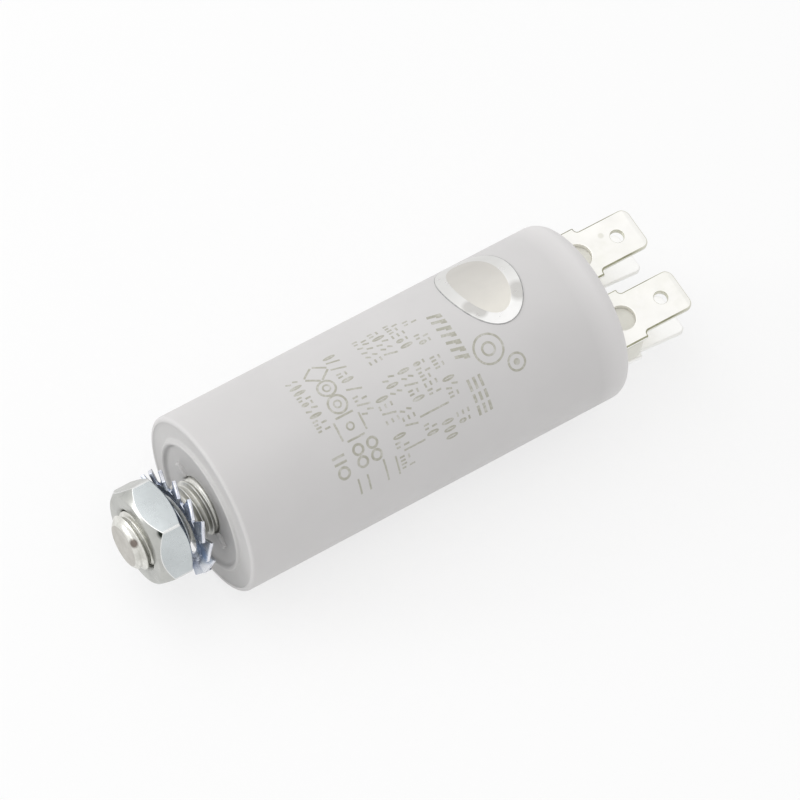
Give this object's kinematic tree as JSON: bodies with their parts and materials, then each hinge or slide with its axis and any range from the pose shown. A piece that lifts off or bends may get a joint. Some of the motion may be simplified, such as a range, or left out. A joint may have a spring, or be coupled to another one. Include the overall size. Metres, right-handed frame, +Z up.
{
  "type": "motor capacitor",
  "caption": "Round plastic-cased motor capacitor with a threaded fixing stud, nut and toothed lock washer at one end and double blade terminals at the other.",
  "frame": {"origin": "on the axis, in the plane of the raised ring that seats on the panel", "axes": "-X along the stud, towards its tip; +X towards the terminals; Y along the row of terminals; Z across the blades, +Z up as it lies in the picture"},
  "size_m": [0.0824, 0.025, 0.0251],
  "materials": {
    "case_plastic": "satin",
    "plate_plastic": "satin",
    "stud_metal": "zinc plated",
    "washer_steel": "blue zinc plated",
    "nut_steel": "zinc plated",
    "tinned_brass": "tin plated",
    "wound_film": "metallised film",
    "core_plastic": "moulded",
    "sprayed_zinc": "sprayed zinc",
    "lead_copper": "copper strip",
    "resin": "cast",
    "label_film": "pearl"
  },
  "bodies": {
    "root": {"case": "case_plastic", "base_plate": "plate_plastic", "stud": "stud_metal", "lock_washer": "washer_steel", "hex_nut": "nut_steel", "terminal_a": "tinned_brass", "terminal_b": "tinned_brass", "film_winding": "wound_film", "winding_core": "core_plastic", "sprayed_end_lower": "sprayed_zinc", "sprayed_end_upper": "sprayed_zinc", "lead_short": "lead_copper", "lead_long": "lead_copper", "potting_resin": "resin", "seal_label": "label_film"}
  },
  "joints": []
}
